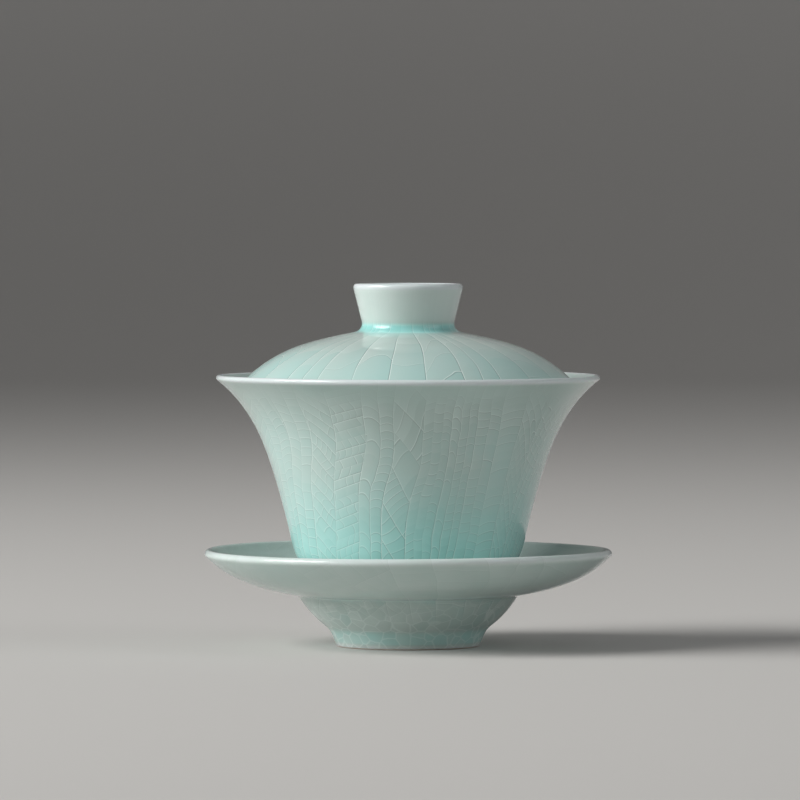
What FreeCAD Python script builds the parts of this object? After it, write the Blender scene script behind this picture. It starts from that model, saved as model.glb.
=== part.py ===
"""Gaiwan: a lidded porcelain tea bowl on a raised saucer.

The three pieces are turned on one vertical axis. Each one is a closed half outline, drawn in the XZ plane
from that piece's own resting face, and revolved about Z. The saucer stands on the origin, the bowl's foot
stands on the floor of the saucer's well, and the lid's edge hangs inside the bowl's flared mouth.
Lengths are in millimetres.
"""

import FreeCAD, Part
import math
import os

import PartDesign
import Sketcher

# Points of the half outlines: distance from the axis, height above the piece's own resting face.
OUTLINE_POINTS = {
    "saucer_recess_centre": (0.0, 6.6),
    "saucer_recess_edge": (14.2, 6.6),
    "saucer_foot_inside": (15.0, 0.0),
    "saucer_foot_outside": (18.4, 0.0),
    "saucer_foot_top": (19.9, 3.3),
    "saucer_cove_top": (21.5, 5.3),
    "saucer_stem_top": (28.7, 13.3),
    "saucer_plate_under": (42.5, 16.8),
    "saucer_lip_under": (53.25, 24.2),
    "saucer_lip_upper": (51.85, 25.6),
    "saucer_plate_upper": (41.0, 19.3),
    "saucer_well_edge": (24.8, 16.2),
    "saucer_well_side": (22.4, 10.0),
    "saucer_well_centre": (0.0, 10.0),
    "bowl_recess_centre": (0.0, 6.8),
    "bowl_recess_edge": (16.4, 6.8),
    "bowl_foot_inside": (17.0, 0.0),
    "bowl_foot_outside": (19.3, 0.0),
    "bowl_foot_top": (20.1, 6.9),
    "bowl_belly": (30.1, 16.5),
    "bowl_wall": (33.5, 30.0),
    "bowl_waist": (37.2, 41.5),
    "bowl_flare": (42.4, 51.5),
    "bowl_lip_outside": (50.25, 59.7),
    "bowl_lip_inside": (49.35, 60.8),
    "bowl_inner_flare": (41.0, 52.5),
    "bowl_inner_waist": (35.3, 42.2),
    "bowl_inner_wall": (31.3, 30.6),
    "bowl_inner_belly": (27.9, 17.1),
    "bowl_floor_edge": (19.35, 10.3),
    "bowl_floor_centre": (0.0, 10.3),
    "lid_ceiling_centre": (0.0, 14.4),
    "lid_ceiling_shoulder": (25.2, 10.75),
    "lid_edge_inside": (43.1, 0.0),
    "lid_edge_outside": (44.7, 1.4),
    "lid_shoulder": (26.0, 13.25),
    "lid_knob_root": (11.5, 16.4),
    "lid_knob_outside": (14.5, 28.6),
    "lid_knob_inside": (12.0, 28.6),
    "lid_knob_floor_edge": (9.9, 19.0),
    "lid_knob_floor_centre": (0.0, 19.0),
}

# Radii of the curves that start at a corner, radii of the rounded edges, and where the lid hangs.
SIZES = {
    "saucer_plate_under_curve": 60.0,
    "saucer_plate_upper_curve": 30.0,
    "saucer_foot_rounding": 0.8,
    "saucer_stem_rounding": 1.0,
    "saucer_lip_rounding": 0.9,
    "saucer_well_rounding": 1.6,
    "bowl_belly_curve": 12.6,
    "bowl_inner_flare_curve": 34.0,
    "bowl_foot_rounding": 0.7,
    "bowl_root_rounding": 1.2,
    "bowl_lip_rounding": 0.65,
    "lid_dome_curve": 39.0,
    "lid_edge_rounding": 0.95,
    "lid_neck_rounding": 2.2,
    "lid_knob_rounding": 0.9,
    "lid_knob_floor_rounding": 2.0,
    "lid_seat": 55.7,
}

# Each outline runs anticlockwise from the axis under the piece. A step says how the outline reaches its
# point: a straight line, a smooth arc tangent to what comes before it, a cap arc centred on the axis, or an
# arc that starts at a corner with a radius of its own, a bulge of the clay or a hollow in it.
SAUCER_OUTLINE = [
    ("saucer_recess_centre", "start"),
    ("saucer_recess_edge", "line"),
    ("saucer_foot_inside", "line"),
    ("saucer_foot_outside", "line"),
    ("saucer_foot_top", "line"),
    ("saucer_cove_top", "smooth"),
    ("saucer_stem_top", "smooth"),
    ("saucer_plate_under", "bulge", "saucer_plate_under_curve"),
    ("saucer_lip_under", "smooth"),
    ("saucer_lip_upper", "line"),
    ("saucer_plate_upper", "hollow", "saucer_plate_upper_curve"),
    ("saucer_well_edge", "smooth"),
    ("saucer_well_side", "line"),
    ("saucer_well_centre", "line"),
]
BOWL_OUTLINE = [
    ("bowl_recess_centre", "start"),
    ("bowl_recess_edge", "line"),
    ("bowl_foot_inside", "line"),
    ("bowl_foot_outside", "line"),
    ("bowl_foot_top", "line"),
    ("bowl_belly", "bulge", "bowl_belly_curve"),
    ("bowl_wall", "smooth"),
    ("bowl_waist", "smooth"),
    ("bowl_flare", "smooth"),
    ("bowl_lip_outside", "smooth"),
    ("bowl_lip_inside", "line"),
    ("bowl_inner_flare", "bulge", "bowl_inner_flare_curve"),
    ("bowl_inner_waist", "smooth"),
    ("bowl_inner_wall", "smooth"),
    ("bowl_inner_belly", "smooth"),
    ("bowl_floor_edge", "smooth"),
    ("bowl_floor_centre", "line"),
]
LID_OUTLINE = [
    ("lid_ceiling_centre", "start"),
    ("lid_ceiling_shoulder", "cap"),
    ("lid_edge_inside", "smooth"),
    ("lid_edge_outside", "line"),
    ("lid_shoulder", "bulge", "lid_dome_curve"),
    ("lid_knob_root", "smooth"),
    ("lid_knob_outside", "line"),
    ("lid_knob_inside", "line"),
    ("lid_knob_floor_edge", "line"),
    ("lid_knob_floor_centre", "line"),
]

# Rounded edges of each piece: feature name, radius, and the outline points whose circles it rounds.
SAUCER_ROUNDINGS = [
    ("SaucerFootRounding", "saucer_foot_rounding", ["saucer_foot_inside", "saucer_foot_outside"]),
    ("SaucerStemRounding", "saucer_stem_rounding", ["saucer_stem_top"]),
    ("SaucerLipRounding", "saucer_lip_rounding", ["saucer_lip_under", "saucer_lip_upper"]),
    ("SaucerWellRounding", "saucer_well_rounding", ["saucer_well_edge", "saucer_well_side"]),
]
BOWL_ROUNDINGS = [
    ("BowlFootRounding", "bowl_foot_rounding", ["bowl_foot_inside", "bowl_foot_outside"]),
    ("BowlRootRounding", "bowl_root_rounding", ["bowl_recess_edge", "bowl_foot_top"]),
    ("BowlLipRounding", "bowl_lip_rounding", ["bowl_lip_outside", "bowl_lip_inside"]),
]
LID_ROUNDINGS = [
    ("LidEdgeRounding", "lid_edge_rounding", ["lid_edge_inside", "lid_edge_outside"]),
    ("LidNeckRounding", "lid_neck_rounding", ["lid_knob_root"]),
    ("LidKnobRounding", "lid_knob_rounding", ["lid_knob_outside", "lid_knob_inside"]),
    ("LidKnobFloorRounding", "lid_knob_floor_rounding", ["lid_knob_floor_edge"]),
]

# Sketcher's own numbers for its origin and axes, and for the ends and the centre of a curve.
ORIGIN = -1
HORIZONTAL_AXIS = -1
VERTICAL_AXIS = -2
FIRST_END = 1
SECOND_END = 2
CENTRE = 3

SAME_PLACE = 1e-4


def make_sheet(doc):
    """Spreadsheet of the driving dimensions, with one named cell for each number."""
    sheet = doc.addObject("Spreadsheet::Sheet", "dims")
    cells = {}
    for name, (radius, height) in OUTLINE_POINTS.items():
        cells[f"{name}_radius"] = radius
        cells[f"{name}_height"] = height
    cells.update(SIZES)
    for row, (name, value) in enumerate(cells.items(), start=1):
        sheet.set(f"A{row}", name)
        sheet.set(f"B{row}", str(value))
        sheet.setAlias(f"B{row}", name)
    doc.recompute()
    return sheet


def vector(name):
    """An outline point as a vector in its sketch."""
    radius, height = OUTLINE_POINTS[name]
    return FreeCAD.Vector(radius, height, 0)


def turned(direction, angle):
    """A sketch direction turned anticlockwise by an angle in radians."""
    rotation = FreeCAD.Rotation(FreeCAD.Vector(0, 0, 1), math.degrees(angle))
    return rotation.multVec(direction)


def heading_for_radius(start, end, radius):
    """Direction in which an arc leaves start for end: anticlockwise, or clockwise if radius is negative."""
    chord = end - start
    half_turn = math.asin(chord.Length / (2 * radius))
    return turned(chord, -half_turn).normalize()


def heading_at_end(start, end, heading):
    """Direction of an arc at its end, given its direction at its start: its mirror image in the chord."""
    chord = (end - start).normalize()
    return chord * (2 * chord.dot(heading)) - heading


def arc(start, end, heading):
    """Arc that leaves start along heading and reaches end, with its start and end as Sketcher numbers them."""
    chord = end - start
    left = turned(heading, math.pi / 2)
    radius = chord.Length**2 / (2 * left.dot(chord))
    centre = start + left * radius
    circle = Part.Circle(centre, FreeCAD.Vector(0, 0, 1), abs(radius))
    start_angle = math.atan2(start.y - centre.y, start.x - centre.x)
    end_angle = math.atan2(end.y - centre.y, end.x - centre.x)
    if radius > 0:
        return Part.ArcOfCircle(circle, start_angle, end_angle), FIRST_END, SECOND_END
    return Part.ArcOfCircle(circle, end_angle, start_angle), SECOND_END, FIRST_END


def constrain(sketch, kind, *arguments, cell=None):
    """Add a constraint and, when it has a size, bind that size to its cell."""
    index = sketch.addConstraint(Sketcher.Constraint(kind, *arguments))
    if cell:
        sketch.setExpression(f"Constraints[{index}]", f"dims.{cell}")


def place_end(sketch, curve, end, name):
    """Hold one end of a curve at an outline point."""
    radius, height = OUTLINE_POINTS[name]
    if radius:
        constrain(sketch, "DistanceX", ORIGIN, FIRST_END, curve, end, radius, cell=f"{name}_radius")
    else:
        constrain(sketch, "PointOnObject", curve, end, VERTICAL_AXIS)
    if height:
        constrain(sketch, "DistanceY", ORIGIN, FIRST_END, curve, end, height, cell=f"{name}_height")
    else:
        constrain(sketch, "PointOnObject", curve, end, HORIZONTAL_AXIS)


def add_arc(sketch, start, end, heading, step, cell=None):
    """Draw an arc of an outline and return its curve, its two ends and its direction at the end."""
    if step == "cap":
        heading = FreeCAD.Vector(1, 0, 0)
    elif step == "bulge":
        heading = heading_for_radius(start, end, SIZES[cell])
    elif step == "hollow":
        heading = heading_for_radius(start, end, -SIZES[cell])
    geometry, first, last = arc(start, end, heading)
    curve = sketch.addGeometry(geometry)
    if step == "cap":
        constrain(sketch, "PointOnObject", curve, CENTRE, VERTICAL_AXIS)
    elif cell:
        constrain(sketch, "Radius", curve, SIZES[cell], cell=cell)
    return curve, first, last, heading_at_end(start, end, heading)


def add_line(sketch, start, end):
    """Draw a straight stretch of an outline and return its curve, its two ends and its direction."""
    curve = sketch.addGeometry(Part.LineSegment(start, end))
    return curve, FIRST_END, SECOND_END, (end - start).normalize()


def draw_outline(sketch, outline):
    """Draw a closed half outline whose points and radii are bound to the sheet."""
    names = [name for name, *step in outline]
    heading = None
    previous = None
    for start_name, (end_name, step, *cell) in zip(names, outline[1:]):
        start, end = vector(start_name), vector(end_name)
        if step == "line":
            curve, first, last, heading = add_line(sketch, start, end)
        else:
            curve, first, last, heading = add_arc(sketch, start, end, heading, step, *cell)
        place_end(sketch, curve, first, start_name)
        if previous:
            join = "Tangent" if step == "smooth" else "Coincident"
            constrain(sketch, join, *previous, curve, first)
        else:
            opening = (curve, first)
        previous = (curve, last)
    axis_side, first, last, heading = add_line(sketch, vector(names[-1]), vector(names[0]))
    place_end(sketch, axis_side, first, names[-1])
    constrain(sketch, "Coincident", *previous, axis_side, first)
    constrain(sketch, "Coincident", axis_side, last, *opening)


def origin_plane(body, role):
    """The body's own origin plane with this role."""
    return next(feature for feature in body.Origin.OriginFeatures if feature.Role == role)


def on_circle(edge, name):
    """Whether an edge is the full circle that an outline point turns through."""
    radius, height = OUTLINE_POINTS[name]
    return (
        not edge.Degenerated
        and isinstance(edge.Curve, Part.Circle)
        and abs(edge.Curve.Radius - radius) < SAME_PLACE
        and abs(edge.Curve.Center.z - height) < SAME_PLACE
    )


def round_edges(doc, body, feature_name, cell, point_names):
    """Fillet the circles that these outline points turn through."""
    base = body.Tip
    edges = [
        f"Edge{number}"
        for number, edge in enumerate(base.Shape.Edges, start=1)
        if any(on_circle(edge, name) for name in point_names)
    ]
    if len(edges) != len(point_names):
        raise RuntimeError(f"{feature_name} found {len(edges)} edges for {point_names}")
    fillet = body.newObject("PartDesign::Fillet", feature_name)
    fillet.Base = (base, edges)
    fillet.setExpression("Radius", f"dims.{cell}")
    doc.recompute()


def turn_piece(doc, label, outline, roundings):
    """One turned piece: a half outline revolved about Z, with its edges rounded."""
    body = doc.addObject("PartDesign::Body", label.capitalize())
    body.Label = label
    sketch = body.newObject("Sketcher::SketchObject", f"{body.Name}Outline")
    sketch.AttachmentSupport = [(origin_plane(body, "XZ_Plane"), "")]
    sketch.MapMode = "FlatFace"
    draw_outline(sketch, outline)
    doc.recompute()
    if not sketch.FullyConstrained:
        raise RuntimeError(f"the outline of {label} is not fully constrained")
    revolution = body.newObject("PartDesign::Revolution", f"{body.Name}Turned")
    revolution.Profile = sketch
    revolution.ReferenceAxis = (sketch, ["V_Axis"])
    revolution.Angle = 360
    doc.recompute()
    for feature_name, cell, point_names in roundings:
        round_edges(doc, body, feature_name, cell, point_names)
    return body


def check_document(doc, pieces):
    """Stop if any object failed to recompute or any piece is not one valid solid."""
    for item in doc.Objects:
        if "Invalid" in item.State or "Error" in item.State:
            raise RuntimeError(f"{item.Label} is in state {item.State}")
    for piece in pieces:
        shape = piece.Shape
        if shape.isNull() or not shape.isValid() or len(shape.Solids) != 1:
            raise RuntimeError(f"{piece.Label} is not one valid solid")


def build():
    """Make the document and its three pieces."""
    doc = FreeCAD.newDocument("gaiwan")
    make_sheet(doc)
    saucer = turn_piece(doc, "saucer", SAUCER_OUTLINE, SAUCER_ROUNDINGS)
    bowl = turn_piece(doc, "bowl", BOWL_OUTLINE, BOWL_ROUNDINGS)
    lid = turn_piece(doc, "lid", LID_OUTLINE, LID_ROUNDINGS)
    bowl.setExpression("Placement.Base.z", "dims.saucer_well_centre_height")
    lid.setExpression("Placement.Base.z", "dims.saucer_well_centre_height + dims.lid_seat")
    doc.recompute()
    pieces = [saucer, bowl, lid]
    check_document(doc, pieces)
    return pieces


def export(pieces):
    """Write one STEP file for each piece, named after it."""
    os.makedirs("parts", exist_ok=True)
    for piece in pieces:
        piece.Shape.exportStep(f"parts/{piece.Label}.step")
        print(f"{piece.Label}: {piece.Shape.Volume:.0f} mm3")


export(build())
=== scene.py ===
"""Gaiwan: bowl, lid and saucer in crackled celadon glaze over white porcelain.

Each piece is a fine lathe mesh turned from the seam of its own CAD node, so it follows the frame closely.
The mesh carries how thick the glaze lies and how far the crackle reaches, and the material reads both.
"""

import math

import bpy
import numpy as np
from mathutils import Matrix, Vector


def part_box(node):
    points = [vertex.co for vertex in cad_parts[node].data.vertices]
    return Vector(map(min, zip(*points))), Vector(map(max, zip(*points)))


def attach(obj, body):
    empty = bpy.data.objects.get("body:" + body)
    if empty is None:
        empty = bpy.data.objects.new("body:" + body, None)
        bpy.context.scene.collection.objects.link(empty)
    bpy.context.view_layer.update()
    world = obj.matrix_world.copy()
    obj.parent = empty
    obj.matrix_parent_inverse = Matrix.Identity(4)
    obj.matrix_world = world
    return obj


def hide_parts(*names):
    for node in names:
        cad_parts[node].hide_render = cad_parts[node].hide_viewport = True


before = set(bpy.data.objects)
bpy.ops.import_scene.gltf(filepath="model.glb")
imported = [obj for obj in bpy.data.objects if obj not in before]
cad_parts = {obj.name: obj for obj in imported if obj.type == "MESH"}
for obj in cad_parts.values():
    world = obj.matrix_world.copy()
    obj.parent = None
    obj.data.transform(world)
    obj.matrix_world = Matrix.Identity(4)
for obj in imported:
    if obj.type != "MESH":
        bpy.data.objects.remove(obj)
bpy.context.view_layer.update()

MM = 0.001
TAU = 2 * math.pi
PIECES = ("saucer", "bowl", "lid")


# ---------------------------------------------------------------- camera

CAMERA_DISTANCE = 1.83
CAMERA_HEIGHT = 0.1176
AIM_HEIGHT = 0.064
SIDE_STEP = -0.0021
LENS = 317
SENSOR = 36


def make_camera():
    """A long lens a little above the rim, at the photograph's viewing angle."""
    data = bpy.data.cameras.new("camera")
    data.lens = LENS
    data.sensor_width = SENSOR
    data.clip_end = 20
    camera = bpy.data.objects.new("camera", data)
    camera.location = (SIDE_STEP, -CAMERA_DISTANCE, CAMERA_HEIGHT)
    tilt = math.atan2(CAMERA_HEIGHT - AIM_HEIGHT, CAMERA_DISTANCE)
    camera.rotation_euler = (math.pi / 2 - tilt, 0, 0)
    bpy.context.scene.collection.objects.link(camera)
    bpy.context.scene.camera = camera


# ---------------------------------------------------------------- outlines of the turned pieces

OUTLINE_STEP = 0.05 * MM
SMOOTHING = 0.25 * MM
BEND_REACH = 0.35 * MM


def seam_points(node):
    """The half outline of a turned CAD node as (radius, height) points, from under the piece to its top."""
    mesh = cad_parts[node].data
    seam = {
        vertex.index: (round(vertex.co.x, 6), round(vertex.co.z, 6))
        for vertex in mesh.vertices
        if abs(vertex.co.y) < 1e-7 and vertex.co.x > -1e-7
    }
    beside = {}
    for first, second in mesh.edge_keys:
        if first in seam and second in seam and seam[first] != seam[second]:
            beside.setdefault(seam[first], set()).add(seam[second])
            beside.setdefault(seam[second], set()).add(seam[first])
    ends = sorted((point for point in beside if len(beside[point]) == 1), key=lambda point: point[1])
    chain = [ends[0]]
    before = None
    while chain[-1] != ends[1]:
        onward = [point for point in beside[chain[-1]] if point != before]
        before = chain[-1]
        chain.append(onward[0])
    if chain[0][0] > 0:
        chain.insert(0, (0, chain[0][1]))
    if chain[-1][0] > 0:
        chain.append((0, chain[-1][1]))
    return np.array(chain)


def smooth_outline(points):
    """The outline as even, closely spaced points on a smooth curve through the seam's own points."""
    chords = np.diff(points, axis=0)
    lengths = np.linalg.norm(chords, axis=1)
    directions = chords / lengths[:, None]
    tangents = np.empty_like(points)
    tangents[0] = directions[0]
    tangents[-1] = directions[-1]
    tangents[1:-1] = directions[:-1] * lengths[1:, None] + directions[1:] * lengths[:-1, None]
    tangents /= np.linalg.norm(tangents, axis=1)[:, None]
    spans = []
    for start, end, leave, arrive, length in zip(points, points[1:], tangents, tangents[1:], lengths):
        t = np.linspace(0, 1, max(2, int(length / OUTLINE_STEP) + 2))[:-1, None]
        spans.append(
            (2 * t**3 - 3 * t**2 + 1) * start
            + (t**3 - 2 * t**2 + t) * length * leave
            + (3 * t**2 - 2 * t**3) * end
            + (t**3 - t**2) * length * arrive
        )
    curve = np.vstack([*spans, points[-1:]])
    travel = np.concatenate([[0], np.cumsum(np.linalg.norm(np.diff(curve, axis=0), axis=1))])
    even = np.arange(0, travel[-1], OUTLINE_STEP)
    curve = np.column_stack([np.interp(even, travel, curve[:, 0]), np.interp(even, travel, curve[:, 1])])
    return blurred(curve, SMOOTHING)


def blurred(values, width):
    """Values along the even outline, averaged over a bell curve of this width in metres."""
    reach = int(4 * width / OUTLINE_STEP)
    offsets = np.arange(-reach, reach + 1) * OUTLINE_STEP
    weights = np.exp(-0.5 * (offsets / width) ** 2)
    weights /= weights.sum()
    columns = values.reshape(len(values), -1)
    padded = np.pad(columns, ((reach, reach), (0, 0)), mode="reflect", reflect_type="odd")
    result = [np.convolve(padded[:, k], weights, mode="valid") for k in range(columns.shape[1])]
    return np.column_stack(result).reshape(values.shape)


def bend(curve):
    """Signed curvature of the outline in 1/m: positive on an edge that stands out, negative in a hollow."""
    step = np.gradient(curve, OUTLINE_STEP, axis=0)
    turn = np.gradient(np.unwrap(np.arctan2(step[:, 1], step[:, 0])), OUTLINE_STEP)
    return blurred(turn, BEND_REACH)


# ---------------------------------------------------------------- how the glaze lies, from 0 to 1 thick

EDGE_FROM = 0.12
EDGE_MOST = 0.7
HOLLOW_MOST = 0.8
HOLLOW_REACH = 0.35 * MM


def eased(value, start, end):
    """0 before start, 1 after end, and smooth between."""
    t = np.clip((value - start) / (end - start), 0, 1)
    return t * t * (3 - 2 * t)


def band(value, low, high, blend):
    """1 between low and high, fading to 0 within the blend on each side."""
    return eased(value, low - blend, low) * (1 - eased(value, high, high + blend))


def settled(curvature, body, edge_reach, thinning, pooling):
    """Glaze thickness: the body's own, thinned on edges and pooled in hollows."""
    edge = np.clip(blurred(curvature, edge_reach) * MM - EDGE_FROM, 0, EDGE_MOST)
    hollow = np.clip(-blurred(curvature, HOLLOW_REACH) * MM, 0, HOLLOW_MOST)
    return np.clip(body - thinning * edge + pooling * hollow, 0, 1)


def saucer_glaze(curve, curvature):
    """Thin on the plate and stem, thicker on the foot, and wiped at the very bottom."""
    height = curve[:, 1]
    foot = band(height, 1.6 * MM, 3.6 * MM, 2.0 * MM)
    wiped = eased(height, 0.2 * MM, 1.6 * MM)
    body = 0.25 + 0.17 * foot
    return settled(curvature, body, edge_reach=0.40 * MM, thinning=0.26, pooling=0.10) * wiped


def bowl_glaze(curve, curvature):
    """Thick at the bottom, thinner up the wall, and thin under the lip."""
    height = curve[:, 1]
    body = 0.58 - 0.27 * eased(height, 20 * MM, 50 * MM) - 0.07 * eased(height, 52 * MM, 66 * MM)
    return settled(curvature, body, edge_reach=0.22 * MM, thinning=0.5, pooling=0.4)


def lid_glaze(curve, curvature):
    """A little thicker towards the dome's edge, thin on the knob, run down and pooled round the neck."""
    radius, height = curve[:, 0], curve[:, 1]
    dome = 0.25 + 0.13 * eased(radius, 22 * MM, 42 * MM)
    knob = eased(height, 83.2 * MM, 84.8 * MM)
    run = eased(height, 81.3 * MM, 82.0 * MM) * (1 - eased(height, 82.8 * MM, 86.0 * MM))
    body = dome * (1 - 0.45 * knob) + 0.18 * run
    return settled(curvature, body, edge_reach=0.20 * MM, thinning=0.5, pooling=0.5 * (1 - knob))


def saucer_crazing(curve):
    """Plain on the stem and foot, and faint on the plate."""
    return 1 - 0.8 * eased(curve[:, 1], 12.5 * MM, 14.5 * MM)


def bowl_crazing(curve):
    """Plain on the wall and faint under the lip."""
    return 1 - 0.85 * eased(curve[:, 1], 60 * MM, 68 * MM)


def lid_crazing(curve):
    """Plain on the dome, faint round the neck and hardly there on the knob."""
    height = curve[:, 1]
    return 1 - 0.65 * eased(height, 80.8 * MM, 81.8 * MM) - 0.30 * eased(height, 83.6 * MM, 84.8 * MM)


GLAZES = {"saucer": saucer_glaze, "bowl": bowl_glaze, "lid": lid_glaze}
CRAZINGS = {"saucer": saucer_crazing, "bowl": bowl_crazing, "lid": lid_crazing}


# ---------------------------------------------------------------- lathe meshes

SEGMENTS = 256
FINEST_RING = 0.16 * MM
WIDEST_RING = 1.1 * MM
RINGS_PER_RADIUS = 7
RING_BLEND = 0.5 * MM
OUT_OF_ROUND = {"saucer": 0.12 * MM, "bowl": 0.05 * MM, "lid": 0.04 * MM}
OUT_OF_LEVEL = {"saucer": 0.16 * MM, "bowl": 0.05 * MM, "lid": 0.03 * MM}
HAND_PHASE = {"saucer": 0.4, "bowl": 2.1, "lid": 4.0}


def ring_places(curvature):
    """Indices on the even outline where rings go: close together where it bends, else wide apart."""
    spacing = np.clip(1 / (RINGS_PER_RADIUS * np.abs(curvature) + 1e-9), FINEST_RING, WIDEST_RING)
    spacing = np.exp(blurred(np.log(spacing), RING_BLEND))
    count = np.concatenate([[0], np.cumsum(OUTLINE_STEP / spacing)[:-1]])
    rings = int(math.ceil(count[-1]))
    return np.interp(np.linspace(0, count[-1], rings + 1), count, np.arange(len(count)))


def at_places(places, values):
    """Values of the even outline read at fractional indices."""
    index = np.arange(len(values))
    columns = values.reshape(len(values), -1)
    read = [np.interp(places, index, columns[:, k]) for k in range(columns.shape[1])]
    return np.column_stack(read).reshape((len(places),) + values.shape[1:])


def hand_turned(radius, height, angle, piece):
    """Where a point of a perfect lathe shape lies on the real piece: a hair out of round and level."""
    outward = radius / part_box(piece)[1].x
    phase = HAND_PHASE[piece]
    sway = OUT_OF_ROUND[piece] * outward**2
    tip = OUT_OF_LEVEL[piece] * outward**4
    radius = radius + sway * np.cos(2 * angle + phase) + 0.4 * sway * np.cos(3 * angle - phase)
    height = height + tip * np.cos(2 * angle + 2 * phase + 1)
    return radius, height


def lathe_points(rings, piece):
    """The points of a lathe mesh: one on the axis, then ring after ring, then one on the axis again."""
    angle = np.linspace(0, TAU, SEGMENTS, endpoint=False)
    radius, height = hand_turned(rings[1:-1, :1], rings[1:-1, 1:], angle[None, :], piece)
    turned = np.stack([radius * np.cos(angle), radius * np.sin(angle), height], axis=-1).reshape(-1, 3)
    return np.vstack([[(0, 0, rings[0, 1])], turned, [(0, 0, rings[-1, 1])]])


def lathe_faces(rings):
    """The faces between them: a fan at each end of the axis and quads between this many rings."""
    step = np.arange(SEGMENTS)
    after = (step + 1) % SEGMENTS
    last = 1 + rings * SEGMENTS
    faces = [(0, 1 + int(b), 1 + int(a)) for a, b in zip(step, after)]
    for ring in range(rings - 1):
        low = 1 + ring * SEGMENTS
        high = low + SEGMENTS
        quads = np.column_stack([low + step, low + after, high + after, high + step])
        faces.extend(map(tuple, quads.tolist()))
    top = last - SEGMENTS
    faces.extend((last, top + int(a), top + int(b)) for a, b in zip(step, after))
    return faces


def turn_piece(piece):
    """A lathe mesh of a CAD node. Its points store their travel along the outline, glaze and crazing."""
    curve = smooth_outline(seam_points(piece))
    curvature = bend(curve)
    places = ring_places(curvature)
    rings = at_places(places, curve)
    mesh = bpy.data.meshes.new(piece)
    mesh.from_pydata(lathe_points(rings, piece).tolist(), [], lathe_faces(len(rings) - 2))
    mesh.shade_smooth()
    stored = {
        "along": places * OUTLINE_STEP / MM,
        "glaze": at_places(places, GLAZES[piece](curve, curvature)),
        "crazing": at_places(places, CRAZINGS[piece](curve)),
    }
    for name, values in stored.items():
        spread = np.concatenate([values[:1], np.repeat(values[1:-1], SEGMENTS), values[-1:]])
        attribute = mesh.attributes.new(name, "FLOAT", "POINT")
        attribute.data.foreach_set("value", spread.astype(np.float32))
    obj = bpy.data.objects.new(f"{piece}_glazed", mesh)
    bpy.context.scene.collection.objects.link(obj)
    return obj


# ---------------------------------------------------------------- node helpers


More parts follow.
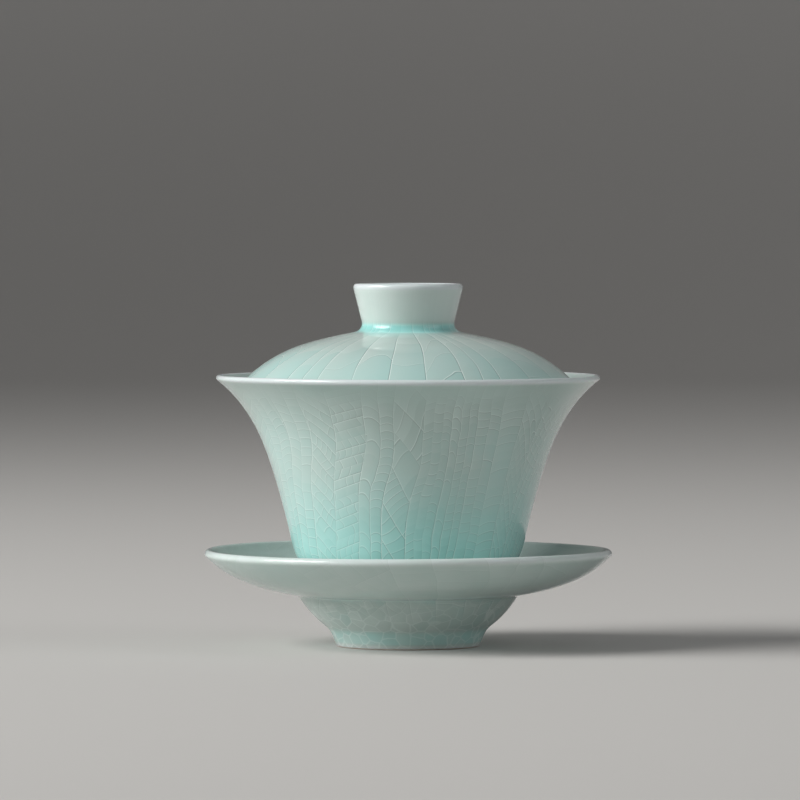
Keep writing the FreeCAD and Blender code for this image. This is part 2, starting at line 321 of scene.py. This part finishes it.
class Graph:
    """A node tree with short ways to add nodes and join them."""

    def __init__(self, tree):
        self.tree = tree

    def node(self, kind, values=None, **settings):
        """Add a node, set its properties, and feed its inputs by name or number."""
        made = self.tree.nodes.new(kind)
        for name, value in settings.items():
            setattr(made, name, value)
        self.feed(made, values or {})
        return made

    def feed(self, node, values):
        """Give a node's inputs their numbers, or the results of other nodes, by name or number."""
        for name, value in values.items():
            if isinstance(value, bpy.types.NodeSocket):
                self.tree.links.new(value, node.inputs[name])
            else:
                node.inputs[name].default_value = value

    def math(self, operation, *values):
        """A math node's result."""
        return self.node("ShaderNodeMath", dict(enumerate(values)), operation=operation).outputs[0]

    def times(self, first, second):
        """The product of two numbers."""
        return self.math("MULTIPLY", first, second)

    def scaled(self, value, factor, added):
        """A number times a factor, plus another number."""
        return self.math("MULTIPLY_ADD", value, factor, added)

    def between(self, share, low, high):
        """Low where the share is 0, high where it is 1, and in step between."""
        return self.scaled(share, high - low, low)

    def fade(self, value, start, end, low=0.0, high=1.0):
        """Low at start, high at end, and smooth between."""
        values = {0: value, 1: start, 2: end, 3: low, 4: high}
        return self.node("ShaderNodeMapRange", values, interpolation_type="SMOOTHSTEP").outputs[0]

    def blend(self, amount, first, second):
        """A number that goes from the first to the second as the amount goes from 0 to 1."""
        return self.node("ShaderNodeMix", {0: amount, 2: first, 3: second}).outputs[0]

    def attribute(self, name):
        """A number stored on the mesh."""
        return self.node("ShaderNodeAttribute", attribute_name=name).outputs["Fac"]

    def millimetres(self):
        """The point's place on the piece, in mm."""
        place = self.node("ShaderNodeTexCoord").outputs["Object"]
        return self.vector_times(place, 1 / MM)

    def join(self, x, y=0.0, z=0.0):
        """A vector made of three numbers."""
        return self.node("ShaderNodeCombineXYZ", {0: x, 1: y, 2: z}).outputs[0]

    def split(self, vector):
        """The three numbers of a vector."""
        return self.node("ShaderNodeSeparateXYZ", {0: vector}).outputs

    def vector_times(self, vector, factor):
        """A vector times a number."""
        values = {0: vector, "Scale": factor}
        return self.node("ShaderNodeVectorMath", values, operation="SCALE").outputs[0]

    def vector_plus(self, vector, step):
        """A vector plus another."""
        return self.node("ShaderNodeVectorMath", {0: vector, 1: step}, operation="ADD").outputs[0]

    def noise(self, vector, size, detail=1.0, roughness=0.5):
        """Three smooth random numbers from -1 to 1 that change over a size in the vector's units."""
        values = {"Vector": vector, "Scale": 1 / size, "Detail": detail, "Roughness": roughness}
        colour = self.node("ShaderNodeTexNoise", values).outputs["Color"]
        centring = {0: colour, 1: (2, 2, 2), 2: (-1, -1, -1)}
        centred = self.node("ShaderNodeVectorMath", centring, operation="MULTIPLY_ADD").outputs[0]
        return self.split(centred)

    def dice(self, *values):
        """Three random numbers from 0 to 1 that depend only on the given ones."""
        place = {"Vector": self.join(*values)}
        made = self.node("ShaderNodeTexWhiteNoise", place, noise_dimensions="3D")
        return self.split(made.outputs["Color"])

    def cells(self, vector, size, **settings):
        """A Voronoi texture's outputs, with cells of a size in the vector's units."""
        values = {"Vector": vector, "Scale": 1 / size}
        return self.node("ShaderNodeTexVoronoi", values, **settings).outputs

    def bump(self, height, distance):
        """A surface direction tipped by a height, which is in units of the distance."""
        values = {"Height": height, "Distance": distance, "Strength": 1.0}
        return self.node("ShaderNodeBump", values).outputs[0]

    def mixed(self, amount, first, second):
        """Two colours mixed."""
        return self.node("ShaderNodeMix", {0: amount, 6: first, 7: second}, data_type="RGBA").outputs[2]

    def ramp(self, value, stops):
        """A colour read from a row of (place, colour) stops."""
        made = self.node("ShaderNodeValToRGB", {0: value})
        elements = made.color_ramp.elements
        while len(elements) < len(stops):
            elements.new(1)
        for element, (place, colour) in zip(elements, stops):
            element.position = place
            element.color = (*colour, 1)
        return made.outputs[0]


# ---------------------------------------------------------------- crackle, with sizes in mm

CRACKLE_INPUTS = (
    "Around", "Splits", "Slope", "Rung", "Rungs kept", "Bow", "Sway", "Wobble", "Lean",
    "Thin out", "Net to", "Strips from", "Seed",
)
CRACKLE_OUTPUTS = ("Light", "Dark", "Shade and tone")

# sizes of the noises that bend the cracks, and where each seed reads them
SEED_STEP = (37.0, 19.0)
BROAD_BENDS = 38.0
CLOSE_BENDS = 7.0
CLOSE_SWAY = 0.05

# a strip whose doubled tilt is under this has upright cracks
UPRIGHT = 0.9

# rungs, with the lowest and highest of each random range
RUNG_SPACING = (0.65, 1.35)
RUNG_BOW = (-0.6, 1.2)
RUNG_SLANT = (-0.5, 0.5)
RUNG_START = 53.0
RUNG_WOBBLE = 0.22
COLUMN_STEP = 7.0

# how plain the cracks are: each strength rises over its range as the draw does
LONG_STRETCH = 9.0
STRETCH_STAGGER = 0.37
LONG_DRAW = (0.0, 0.6)
LONG_STRENGTH = (0.45, 1.0)
FINE_DRAW = (0.1, 0.6)
FINE_STRENGTH = (0.1, 0.85)
RUNG_STRENGTH = (0.35, 0.85)
THIN_BLEND = 1.5
FINE_SEED = 9.0
RUNG_SEED = 5.0

# the painted sides of the cracks, light on one side and shade on the other: the reach of each, and the
# share of it that is at full strength
LIGHT_SIDE = 0.26
DARK_SIDE = 0.34
HAIR_CORE = 0.25

# how far each family of cracks tips the cells, as a painted shade from one side of each cell to the other,
# and each cell's own random part
SHADE_ACROSS = -0.5
SHADE_FINE = -0.7
SHADE_RISE = -0.4
TONE_CELL = 0.5

# the net of plain cells near the axis
NET_CELL = 3.8
NET_CORE = 0.04
NET_STRENGTH = 0.7


class Crackle(Graph):
    """Node group that draws a crackle in the order that one forms.

    Long cracks climb the wall and mark off strips. Each strip is split by finer cracks at a slant of its
    own, and those strips by short rungs. Light and Dark are the two sides of every crack, from 0 to 1:
    painted light on one side and painted shade on the other. The third output runs from below 0 to above 0
    over each cell, the way the glaze tips between its cracks: a painted shade from side to side, and a
    random tone of the cell's own.
    """

    def __init__(self):
        super().__init__(bpy.data.node_groups.new("crackle", "ShaderNodeTree"))
        for name in CRACKLE_INPUTS:
            self.tree.interface.new_socket(name, in_out="INPUT", socket_type="NodeSocketFloat")
        for name in CRACKLE_OUTPUTS:
            self.tree.interface.new_socket(name, in_out="OUTPUT", socket_type="NodeSocketFloat")
        self.given = self.node("NodeGroupInput").outputs
        self.seed = self.given["Seed"]
        self.find_place()
        self.mark_strips()
        self.split_strips()
        self.lay_rungs()
        self.give_out()

    def find_place(self):
        """Where a point lies on the turned piece, and the smooth noises that bend the cracks there."""
        here = self.millimetres()
        x, y, _ = self.split(here)
        self.radius = self.math("SQRT", self.scaled(x, x, self.times(y, y)))
        self.turn = self.math("DIVIDE", self.math("ARCTAN2", y, x), TAU)
        self.along = self.attribute("along")
        apart = self.join(*(self.times(self.seed, step) for step in SEED_STEP))
        self.place = self.vector_plus(here, apart)
        self.broad = self.noise(self.place, BROAD_BENDS)
        self.close = self.noise(self.place, CLOSE_BENDS)

    def mark_strips(self):
        """Strips between the long cracks, numbered round the piece."""
        around = self.given["Around"]
        self.strip_width = self.math("DIVIDE", self.times(self.radius, TAU), around)
        side = self.math("SINE", self.scaled(self.turn, TAU, self.seed))
        lean = self.times(self.times(side, self.given["Lean"]), self.along)
        sway = self.times(self.given["Sway"], self.scaled(self.close[0], CLOSE_SWAY, self.broad[0]))
        across = self.math("ADD", self.scaled(self.turn, around, sway), lean)
        self.strip = self.math("FLOORED_MODULO", self.math("FLOOR", across), around)
        self.long_crack = self.math("FLOORED_MODULO", self.math("ROUND", across), around)
        self.across = self.math("FRACT", across)

    def split_strips(self):
        """Finer cracks that split a strip, upright in some strips and slanted in the others."""
        own = self.dice(self.strip, self.seed)
        splits = self.math("ADD", self.math("FLOOR", self.times(own[0], self.given["Splits"])), 1.0)
        tilt = self.between(own[1], -1.0, 1.0)
        slanted = self.math("MAXIMUM", self.scaled(self.math("ABSOLUTE", tilt), 2.0, -UPRIGHT), 0.0)
        self.slope = self.times(self.times(slanted, self.math("SIGN", tilt)), self.given["Slope"])
        self.sideways = self.math("DIVIDE", splits, self.strip_width)
        squares = self.scaled(self.slope, self.slope, self.times(self.sideways, self.sideways))
        self.steep = self.math("SQRT", squares)
        fine = self.scaled(self.across, splits, self.times(self.slope, self.along))
        is_split = self.math("MINIMUM", self.math("SUBTRACT", splits, 1.0), 1.0)
        fine = self.scaled(self.close[1], self.times(self.given["Wobble"], is_split), fine)
        self.fine_strip = self.math("FLOOR", fine)
        self.fine_crack = self.math("ROUND", fine)
        self.fine = self.math("FRACT", fine)

    def lay_rungs(self):
        """Rungs square to the finer cracks. Each fine strip's have their own start, spacing and bow."""
        own = self.dice(self.strip, self.fine_strip, self.seed)
        drop = self.times(self.times(self.slope, self.across), self.strip_width)
        level = self.math("SUBTRACT", self.times(self.sideways, self.along), drop)
        level = self.math("DIVIDE", self.math("DIVIDE", level, self.steep), self.given["Rung"])
        rise = self.times(level, self.between(own[0], *RUNG_SPACING))
        off_centre = self.centred(self.fine)
        bow = self.times(self.times(off_centre, off_centre), self.between(own[2], *RUNG_BOW))
        slant = self.times(off_centre, self.between(own[1], *RUNG_SLANT))
        rise = self.scaled(self.math("ADD", bow, slant), self.given["Bow"], rise)
        rise = self.scaled(own[1], RUNG_START, self.scaled(self.close[2], RUNG_WOBBLE, rise))
        column = self.scaled(self.strip, COLUMN_STEP, self.fine_strip)
        self.cell = self.dice(column, self.math("FLOOR", rise), self.seed)
        self.rung = self.dice(column, self.math("ROUND", rise), self.math("ADD", self.seed, RUNG_SEED))
        self.rise = self.math("FRACT", rise)

    def centred(self, share):
        """A share of a strip's width, counted from its middle."""
        return self.math("SUBTRACT", share, 0.5)

    def long_strength(self):
        """How plain each long crack is along its way. Near the axis every other one fades out."""
        climbed = self.math("DIVIDE", self.along, LONG_STRETCH)
        stretch = self.math("FLOOR", self.scaled(self.long_crack, STRETCH_STAGGER, climbed))
        draw = self.dice(self.long_crack, stretch, self.seed)[0]
        odd = self.math("FLOORED_MODULO", self.long_crack, 2.0)
        thin_out = self.given["Thin out"]
        crowded = self.fade(self.radius, thin_out, self.times(thin_out, THIN_BLEND), 1.0, 0.0)
        kept = self.math("SUBTRACT", 1.0, self.times(odd, crowded))
        return self.times(self.fade(draw, *LONG_DRAW, *LONG_STRENGTH), kept)

    def fine_strength(self):
        """How plain each finer crack is."""
        draw = self.dice(self.strip, self.fine_crack, self.math("ADD", self.seed, FINE_SEED))[0]
        return self.fade(draw, *FINE_DRAW, *FINE_STRENGTH)

    def rung_strength(self):
        """How plain each rung is, with some left out."""
        kept = self.math("LESS_THAN", self.rung[0], self.given["Rungs kept"])
        return self.times(kept, self.between(self.rung[1], *RUNG_STRENGTH))

    def crack_side(self, families, reach, before):
        """One side of every crack, painted light after it and painted shade before it: a band that fades
        within the reach.
        """
        sides = []
        for share, width, strength in families:
            gap = self.math("SUBTRACT", 1.0, share) if before else share
            painted_band = self.fade(self.times(gap, width), reach * HAIR_CORE, reach, 1.0, 0.0)
            sides.append(self.times(painted_band, strength))
        return self.math("MAXIMUM", self.math("MAXIMUM", sides[0], sides[1]), sides[2])

    def cell_shade_and_tone(self):
        """How each cell tips between its cracks, as a painted shade from one side to the other, with a
        little random tone of its own.
        """
        tone_and_shade = self.times(self.centred(self.across), SHADE_ACROSS)
        tone_and_shade = self.scaled(self.centred(self.fine), SHADE_FINE, tone_and_shade)
        tone_and_shade = self.scaled(self.centred(self.rise), SHADE_RISE, tone_and_shade)
        return self.scaled(self.centred(self.cell[0]), TONE_CELL, tone_and_shade)

    def net(self):
        """The painted light along the cracks of a net of plain cells, and each cell's random tone."""
        bent = self.vector_plus(self.place, self.join(*self.close))
        edge = self.times(self.cells(bent, NET_CELL, feature="DISTANCE_TO_EDGE")["Distance"], NET_CELL)
        cracks = self.fade(edge, NET_CORE, LIGHT_SIDE, NET_STRENGTH, 0.0)
        return cracks, self.centred(self.split(self.cells(bent, NET_CELL)["Color"])[0])

    def give_out(self):
        """The group's outputs. Near the axis the strips would run to a point, so a net takes over."""
        families = (
            (self.across, self.strip_width, self.long_strength()),
            (self.fine, self.math("DIVIDE", 1.0, self.steep), self.fine_strength()),
            (self.rise, self.given["Rung"], self.rung_strength()),
        )
        light = self.crack_side(families, LIGHT_SIDE, before=False)
        dark = self.crack_side(families, DARK_SIDE, before=True)
        outer = self.fade(self.radius, self.given["Net to"], self.given["Strips from"])
        net_light, net_tone = self.net()
        self.node("NodeGroupOutput", {
            "Light": self.blend(outer, net_light, light),
            "Dark": self.times(dark, outer),
            "Shade and tone": self.blend(outer, net_tone, self.cell_shade_and_tone()),
        })


CRACKLES = {
    "saucer": {
        "Around": 24, "Splits": 2.2, "Slope": 0.50, "Rung": 3.4, "Rungs kept": 0.85, "Bow": 1.3,
        "Sway": 0.6, "Wobble": 0.40, "Lean": 0.02,
        "Thin out": 4, "Net to": 22, "Strips from": 32, "Seed": 3,
    },
    "bowl": {
        "Around": 26, "Splits": 3.6, "Slope": 0.35, "Rung": 2.4, "Rungs kept": 0.70, "Bow": 1.2,
        "Sway": 0.7, "Wobble": 0.20, "Lean": 0.02,
        "Thin out": 12, "Net to": 14, "Strips from": 20, "Seed": 1,
    },
    "lid": {
        "Around": 26, "Splits": 1.5, "Slope": 0.0, "Rung": 7.0, "Rungs kept": 0.35, "Bow": 2.2,
        "Sway": 0.25, "Wobble": 0.10, "Lean": 0.001,
        "Thin out": 17, "Net to": 6, "Strips from": 10, "Seed": 2,
    },
}


# ---------------------------------------------------------------- materials, with noises and relief in mm

GLAZE_STOPS = (
    (0.00, (0.64, 0.70, 0.715)),
    (0.12, (0.58, 0.67, 0.645)),
    (0.28, (0.48, 0.60, 0.57)),
    (0.55, (0.40, 0.69, 0.665)),
    (0.80, (0.18, 0.56, 0.535)),
    (1.00, (0.06, 0.36, 0.345)),
)
# the pale colour of the painted light along one side of each crack
CRACK_LIGHT_COLOUR = (0.86, 0.95, 0.92, 1)
# how strongly the painted light and shade beside the cracks show on each piece
PLAINNESS = {"saucer": 1.5, "bowl": 1.55, "lid": 2.3}
# how far each cell's painted shade and its random tone shift the glaze's depth
PATCHES_AND_SHADE = {"saucer": 0.15, "bowl": 0.05, "lid": 0.08}

# the noises: clouds a few centimetres wide, fine mottling and a slow ripple
CLOUD_SIZE = 22.0
MOTTLE_SIZE = 2.6
RIPPLE_SIZE = 7.0
CLOUD_RANGE = (-0.35, 0.35)
FAINTEST_CRAZING = 0.55

# what each pattern adds to the glaze's depth, its painted shade and light, roughness and relief
CLOUD_DEPTH = 0.09
MOTTLE_DEPTH = 0.015
TONE_SHADE = 0.09
DARK_SHADE = -0.19
LIGHT_SHADE = 0.42
ROUGHNESS = 0.075
MOTTLE_ROUGHNESS = 0.02
CRACK_ROUGHNESS = 0.10
RIPPLE_RELIEF = 0.010
MOTTLE_RELIEF = 0.0012
CRACK_RELIEF = -0.008
TONE_RELIEF = 0.004
GLAZE_BODY = {
    "IOR": 1.5,
    "Subsurface Weight": 0.35,
    "Subsurface Radius": (0.8, 1.0, 0.9),
    "Subsurface Scale": 1.2 * MM,
}

# bare clay
CLAY_STOPS = (
    (0.0, (0.74, 0.70, 0.63)),
    (1.0, (0.66, 0.55, 0.45)),
)
BLUSH_SIZE = 5.0
GRAIN_SIZE = 0.35
GRAIN_RELIEF = 0.02
CLAY_ROUGHNESS = 0.74
GRAIN_ROUGHNESS = 0.06
BARE_RING = 0.30 * MM


def new_material(name):
    """A material, its graph and its Principled shader."""
    material = bpy.data.materials.new(name)
    material.use_nodes = True
    return material, Graph(material.node_tree), material.node_tree.nodes["Principled BSDF"]


def celadon(piece, group):
    """A piece's glaze: coloured by its thickness, crackled with painted light and shade beside the cracks
    and across the cells, and glossy with a faint ripple.
    """
    material, graph, shader = new_material(f"{piece}_celadon")
    here = graph.millimetres()
    cloud = graph.noise(here, CLOUD_SIZE, detail=2.0)
    mottle = graph.noise(here, MOTTLE_SIZE, detail=3.0, roughness=0.6)
    ripple = graph.noise(here, RIPPLE_SIZE)
    cracks = graph.node("ShaderNodeGroup", CRACKLES[piece], node_tree=group).outputs
    presence = graph.fade(cloud[2], *CLOUD_RANGE, FAINTEST_CRAZING, 1.0)
    crazing = graph.times(graph.attribute("crazing"), presence)
    tone_and_shade = graph.times(cracks["Shade and tone"], crazing)
    light = graph.times(cracks["Light"], crazing)
    dark = graph.times(cracks["Dark"], crazing)

    depth = graph.scaled(cloud[0], CLOUD_DEPTH, graph.attribute("glaze"))
    depth = graph.scaled(mottle[0], MOTTLE_DEPTH, depth)
    # painted shade across each cell, as a change of the glaze's depth, with each cell's random tone
    depth = graph.scaled(tone_and_shade, -PATCHES_AND_SHADE[piece], depth)
    # painted shade: a dark band beside each crack, and each cell darker towards one side
    shade = graph.scaled(tone_and_shade, TONE_SHADE, graph.scaled(dark, DARK_SHADE * PLAINNESS[piece], 1.0))
    colour = graph.vector_times(graph.ramp(depth, GLAZE_STOPS), shade)
    # painted light: a pale band along one side of each crack
    colour = graph.mixed(graph.times(light, LIGHT_SHADE * PLAINNESS[piece]), colour, CRACK_LIGHT_COLOUR)

    relief = graph.scaled(ripple[0], RIPPLE_RELIEF, graph.times(mottle[2], MOTTLE_RELIEF))
    relief = graph.scaled(light, CRACK_RELIEF, relief)
    relief = graph.scaled(tone_and_shade, TONE_RELIEF, relief)
    roughness = graph.scaled(mottle[1], MOTTLE_ROUGHNESS, ROUGHNESS)
    graph.feed(shader, {
        "Base Color": colour,
        "Roughness": graph.scaled(light, CRACK_ROUGHNESS, roughness),
        "Normal": graph.bump(relief, MM),
        **GLAZE_BODY,
    })
    return material


def bare_porcelain():
    """Unglazed foot ring: dry white clay, fired a little warm where the glaze stops."""
    material, graph, shader = new_material("bare_porcelain")
    here = graph.millimetres()
    blush = graph.noise(here, BLUSH_SIZE, detail=3.0)[0]
    grain = graph.noise(here, GRAIN_SIZE, detail=2.0)[0]
    graph.feed(shader, {
        "Base Color": graph.ramp(graph.scaled(blush, 0.5, 0.5), CLAY_STOPS),
        "Roughness": graph.scaled(grain, GRAIN_ROUGHNESS, CLAY_ROUGHNESS),
        "Normal": graph.bump(grain, GRAIN_RELIEF * MM),
    })
    return material


def bare_foot(obj, piece, material):
    """Give the faces that the piece stands on the unglazed material."""
    obj.data.materials.append(material)
    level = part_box(piece)[0].z + BARE_RING
    centres = np.empty(len(obj.data.polygons) * 3, np.float32)
    obj.data.polygons.foreach_get("center", centres)
    bare = centres.reshape(-1, 3)[:, 2] < level
    obj.data.polygons.foreach_set("material_index", bare.astype(np.int32))


def make_pieces():
    """The three glazed pieces, each riding on its own body. The saucer and bowl stand on bare clay."""
    group = Crackle().tree
    clay = bare_porcelain()
    for piece in PIECES:
        obj = turn_piece(piece)
        obj.data.materials.append(celadon(piece, group))
        if piece != "lid":
            bare_foot(obj, piece, clay)
        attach(obj, piece)
        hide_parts(piece)


# ---------------------------------------------------------------- stage and light

FLOOR_RINGS = (0.5, 1.5)
FLOOR_RADIUS = 2.6
COVE_RADIUS = 0.9
COVE_STEPS = 24
WALL_HEIGHT = 2.4
STAGE_SEGMENTS = 96
FLOOR_COLOUR = (0.57, 0.56, 0.545, 1)
FLOOR_ROUGHNESS = 0.8
GLOW_COLOUR = (1.0, 0.985, 0.96, 1)
WALL_GLOW = 0.13
LIGHT_AIM = (0, 0, 0.05)
LIGHTS = {
    "window": {
        "place": (-2.15, -0.65, 1.40), "size": (2.1, 1.45),
        "power": 18.5, "spread": 70, "colour": (1.0, 0.99, 0.97),
    },
    "fill": {
        "place": (2.2, -0.9, 1.3), "size": (2.0, 1.6),
        "power": 3.2, "spread": 90, "colour": (0.97, 0.98, 1.0),
    },
}
WORLD_COLOUR = (0.97, 0.98, 1.0, 1)
WORLD_STRENGTH = 0.15


def stage_mesh():
    """A floor that turns up into a wall all round, open at the top."""
    sweep = np.linspace(0, math.pi / 2, COVE_STEPS)
    flat = [(radius, 0) for radius in FLOOR_RINGS]
    cove = [(FLOOR_RADIUS + COVE_RADIUS * math.sin(a), COVE_RADIUS * (1 - math.cos(a))) for a in sweep]
    outline = [*flat, *cove, (FLOOR_RADIUS + COVE_RADIUS, WALL_HEIGHT)]
    angle = np.linspace(0, TAU, STAGE_SEGMENTS, endpoint=False)
    vertices = [(0, 0, 0)]
    for radius, height in outline:
        vertices.extend((radius * math.cos(a), radius * math.sin(a), height) for a in angle)
    steps = [(k, (k + 1) % STAGE_SEGMENTS) for k in range(STAGE_SEGMENTS)]
    faces = [(0, 1 + k, 1 + after) for k, after in steps]
    for ring in range(len(outline) - 1):
        low = 1 + ring * STAGE_SEGMENTS
        high = low + STAGE_SEGMENTS
        faces.extend((low + k, high + k, high + after, low + after) for k, after in steps)
    mesh = bpy.data.meshes.new("floor")
    mesh.from_pydata(vertices, [], faces)
    mesh.shade_smooth()
    return mesh


def pale_floor():
    """A matt pale material whose walls glow a little, for the glaze to mirror."""
    material, graph, shader = new_material("pale_floor")
    height = graph.split(graph.node("ShaderNodeTexCoord").outputs["Object"])[2]
    graph.feed(shader, {
        "Base Color": FLOOR_COLOUR,
        "Roughness": FLOOR_ROUGHNESS,
        "Emission Color": GLOW_COLOUR,
        "Emission Strength": graph.fade(height, 0.0, COVE_RADIUS, 0.0, WALL_GLOW),
    })
    return material


def make_stage():
    """The pale floor and wall that the gaiwan stands in."""
    floor = bpy.data.objects.new("floor", stage_mesh())
    floor.data.materials.append(pale_floor())
    bpy.context.scene.collection.objects.link(floor)


def area_light(name, place, size, power, spread, colour):
    """A soft rectangular light that faces the gaiwan, with its spread in degrees."""
    data = bpy.data.lights.new(name, "AREA")
    data.shape = "RECTANGLE"
    data.size, data.size_y = size
    data.energy = power
    data.color = colour
    data.spread = math.radians(spread)
    light = bpy.data.objects.new(name, data)
    light.location = place
    light.rotation_mode = "QUATERNION"
    light.rotation_quaternion = (Vector(LIGHT_AIM) - Vector(place)).to_track_quat("-Z", "Y")
    bpy.context.scene.collection.objects.link(light)


def make_lights():
    """A wide soft window on the left, a weak fill on the right, and an even pale surround."""
    for name, settings in LIGHTS.items():
        area_light(name, **settings)
    world = bpy.data.worlds.new("surround")
    world.use_nodes = True
    background = world.node_tree.nodes["Background"]
    background.inputs["Color"].default_value = WORLD_COLOUR
    background.inputs["Strength"].default_value = WORLD_STRENGTH
    bpy.context.scene.world = world
    bpy.context.scene.view_settings.view_transform = "Standard"


make_camera()
make_stage()
make_lights()
make_pieces()
